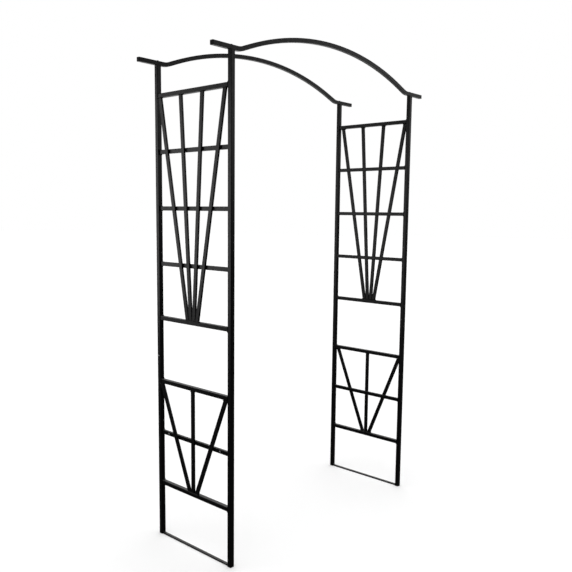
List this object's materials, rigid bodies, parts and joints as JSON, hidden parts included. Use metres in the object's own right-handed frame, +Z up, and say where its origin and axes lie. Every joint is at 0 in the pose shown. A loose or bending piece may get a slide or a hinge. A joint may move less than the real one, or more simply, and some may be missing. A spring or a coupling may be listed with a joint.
{
  "type": "metal trellis arch",
  "caption": "Garden arch of square steel tube: two ladder side panels with fans of flat tubes, joined by two curved rails that overhang the posts.",
  "frame": {"origin": "on the ground, in the middle of the passage", "axes": "+X across the passage, +Y through it towards the rear, +Z up"},
  "size_m": [1.394, 0.482, 2.1939],
  "materials": {
    "powder_coated_steel": "semi-matt black powder coat",
    "black_plastic": "moulded, matt",
    "zinc_plated_steel": "bright zinc",
    "zinc_plated_sleeve": "dull zinc"
  },
  "bodies": {
    "root": {"arch_screws": "zinc_plated_steel", "front_arch_rail": "powder_coated_steel", "left_front_foot_plug": "black_plastic", "left_front_lower_post": "powder_coated_steel", "left_front_rail_end_cap": "black_plastic", "left_front_splice_sleeve": "zinc_plated_sleeve", "left_front_top_plug": "black_plastic", "left_front_upper_post": "powder_coated_steel", "left_ground_bar": "powder_coated_steel", "left_lower_bottom_rung": "powder_coated_steel", "left_lower_fan_bar_1": "powder_coated_steel", "left_lower_fan_bar_2": "powder_coated_steel", "left_lower_fan_bar_3": "powder_coated_steel", "left_lower_middle_rung": "powder_coated_steel", "left_lower_top_rung": "powder_coated_steel", "left_rear_foot_plug": "black_plastic", "left_rear_lower_post": "powder_coated_steel", "left_rear_rail_end_cap": "black_plastic", "left_rear_splice_sleeve": "zinc_plated_sleeve", "left_rear_top_plug": "black_plastic", "left_rear_upper_post": "powder_coated_steel", "left_top_rung": "powder_coated_steel", "left_upper_bottom_rung": "powder_coated_steel", "left_upper_fan_bar_1": "powder_coated_steel", "left_upper_fan_bar_2": "powder_coated_steel", "left_upper_fan_bar_3": "powder_coated_steel", "left_upper_fan_bar_4": "powder_coated_steel", "left_upper_middle_rung_1": "powder_coated_steel", "left_upper_middle_rung_2": "powder_coated_steel", "left_upper_middle_rung_3": "powder_coated_steel", "panel_screws": "zinc_plated_steel", "rear_arch_rail": "powder_coated_steel", "right_front_foot_plug": "black_plastic", "right_front_lower_post": "powder_coated_steel", "right_front_rail_end_cap": "black_plastic", "right_front_splice_sleeve": "zinc_plated_sleeve", "right_front_top_plug": "black_plastic", "right_front_upper_post": "powder_coated_steel", "right_ground_bar": "powder_coated_steel", "right_lower_bottom_rung": "powder_coated_steel", "right_lower_fan_bar_1": "powder_coated_steel", "right_lower_fan_bar_2": "powder_coated_steel", "right_lower_fan_bar_3": "powder_coated_steel", "right_lower_middle_rung": "powder_coated_steel", "right_lower_top_rung": "powder_coated_steel", "right_rear_foot_plug": "black_plastic", "right_rear_lower_post": "powder_coated_steel", "right_rear_rail_end_cap": "black_plastic", "right_rear_splice_sleeve": "zinc_plated_sleeve", "right_rear_top_plug": "black_plastic", "right_rear_upper_post": "powder_coated_steel", "right_top_rung": "powder_coated_steel", "right_upper_bottom_rung": "powder_coated_steel", "right_upper_fan_bar_1": "powder_coated_steel", "right_upper_fan_bar_2": "powder_coated_steel", "right_upper_fan_bar_3": "powder_coated_steel", "right_upper_fan_bar_4": "powder_coated_steel", "right_upper_middle_rung_1": "powder_coated_steel", "right_upper_middle_rung_2": "powder_coated_steel", "right_upper_middle_rung_3": "powder_coated_steel"}
  },
  "joints": []
}
